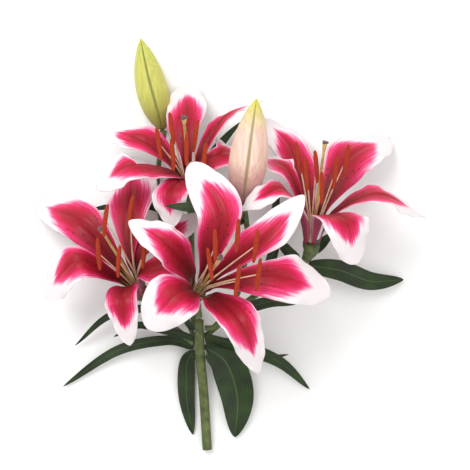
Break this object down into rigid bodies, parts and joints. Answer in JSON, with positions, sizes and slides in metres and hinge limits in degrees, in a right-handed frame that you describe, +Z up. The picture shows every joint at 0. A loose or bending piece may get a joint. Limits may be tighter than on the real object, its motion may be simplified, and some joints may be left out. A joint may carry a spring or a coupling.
{
  "type": "cut lily",
  "caption": "Cut spray of an Oriental lily laid flat: a leafy stem with open crimson and white flowers and closed buds.",
  "frame": {"origin": "middle of the spray's bounding box, on the plane that it lies on", "axes": "+Y from the cut end of the stem towards the blossom, +Z up from the plane that the spray lies on, +X to the right of the stem seen from above"},
  "size_m": [0.3198, 0.3407, 0.1476],
  "materials": {
    "petal": "satin, crimson with a white margin",
    "stamen": "matte, powdery",
    "pistil": "satin",
    "stem": "satin",
    "leaf": "satin",
    "bud": "satin"
  },
  "bodies": {
    "root": {"bract_1": "leaf", "bract_2": "leaf", "front_flower_lower_left_petal": "petal", "front_flower_lower_right_petal": "petal", "front_flower_pistil": "pistil", "front_flower_right_petal": "petal", "front_flower_stamens": "stamen", "front_flower_top_petal": "petal", "front_flower_upper_left_petal": "petal", "front_flower_upper_right_petal": "petal", "front_stalk": "stem", "large_bud": "bud", "large_bud_stalk": "stem", "leaf_1": "leaf", "leaf_10": "leaf", "leaf_11": "leaf", "leaf_12": "leaf", "leaf_13": "leaf", "leaf_14": "leaf", "leaf_2": "leaf", "leaf_3": "leaf", "leaf_4": "leaf", "leaf_5": "leaf", "leaf_6": "leaf", "leaf_7": "leaf", "leaf_8": "leaf", "leaf_9": "leaf", "left_flower_bottom_petal": "petal", "left_flower_lower_left_petal": "petal", "left_flower_pistil": "pistil", "left_flower_right_petal": "petal", "left_flower_stamens": "stamen", "left_flower_top_petal": "petal", "left_flower_upper_left_petal": "petal", "left_flower_upper_right_petal": "petal", "left_stalk": "stem", "main_stem": "stem", "right_flower_bottom_petal": "petal", "right_flower_left_petal": "petal", "right_flower_lower_left_petal": "petal", "right_flower_pistil": "pistil", "right_flower_right_petal": "petal", "right_flower_stamens": "stamen", "right_flower_upper_left_petal": "petal", "right_flower_upper_right_petal": "petal", "right_stalk": "stem", "small_bud": "bud", "small_bud_stalk": "stem", "top_flower_bottom_petal": "petal", "top_flower_lower_left_petal": "petal", "top_flower_pistil": "pistil", "top_flower_right_petal": "petal", "top_flower_stamens": "stamen", "top_flower_top_petal": "petal", "top_flower_upper_left_petal": "petal", "top_flower_upper_right_petal": "petal", "top_stalk": "stem"}
  },
  "joints": []
}
